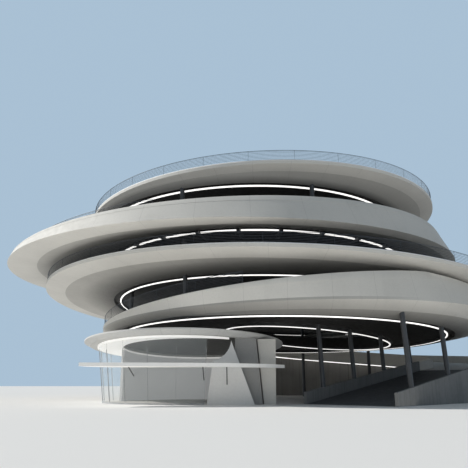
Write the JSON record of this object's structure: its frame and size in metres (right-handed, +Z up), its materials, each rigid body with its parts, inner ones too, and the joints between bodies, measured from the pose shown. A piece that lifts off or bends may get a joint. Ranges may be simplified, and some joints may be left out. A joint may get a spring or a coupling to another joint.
{
  "type": "multi storey car park, 1:2 scale model",
  "caption": "Round car park of tilted saucer decks on columns, with light rings under them, an entry ramp into a hall, and a round glazed entrance pavilion.",
  "frame": {"origin": "on the ground, at the middle of the underside of the pavilion's floor", "axes": "+Z up, the street front with the pavilion and the ramp mouth faces -Y"},
  "size_m": [31.602, 29.2052, 11.8162],
  "materials": {
    "pale_concrete": "smooth cast concrete, pale warm grey",
    "soffit_concrete": "cast concrete",
    "dark_concrete": "dark textured concrete",
    "white_render": "smooth white render",
    "column_paint": "dark grey satin paint",
    "rail_steel": "fine steel bars",
    "strip_light": "lit white diffuser",
    "clear_glass": "clear glass",
    "dark_ceiling": "dark plaster"
  },
  "bodies": {
    "root": {"canopy": "white_render", "canopy_brackets": "column_paint", "ceiling_beams_4": "dark_concrete", "columns_1": "column_paint", "columns_2": "column_paint", "columns_3": "column_paint", "columns_4": "column_paint", "curve_parapet_inner": "pale_concrete", "curve_parapet_outer": "pale_concrete", "curve_slab": "dark_concrete", "curve_wall_inner": "dark_concrete", "curve_wall_outer": "dark_concrete", "deck_2": "pale_concrete", "deck_3": "pale_concrete", "deck_4": "pale_concrete", "deck_5": "pale_concrete", "entrance_fin": "white_render", "entrance_leaf": "soffit_concrete", "entrance_pier": "pale_concrete", "light_ring_2": "strip_light", "light_ring_3": "strip_light", "light_ring_4": "strip_light", "light_ring_5": "strip_light", "light_ring_curve": "strip_light", "light_ring_hall": "strip_light", "parapet_2": "white_render", "parapet_4": "white_render", "pavilion_ceiling": "dark_ceiling", "pavilion_floor": "pale_concrete", "pavilion_glass": "clear_glass", "pavilion_inner_wall": "soffit_concrete", "pavilion_ribbon": "white_render", "pavilion_roof": "pale_concrete", "pavilion_side_wall": "soffit_concrete", "railing_2": "rail_steel", "railing_3": "rail_steel", "railing_4": "rail_steel", "railing_5": "rail_steel", "ramp_columns_far": "column_paint", "ramp_columns_near": "column_paint", "ramp_landing": "dark_concrete", "ramp_slab": "dark_concrete", "ramp_wall_far": "dark_concrete", "ramp_wall_near": "dark_concrete"}
  },
  "joints": []
}
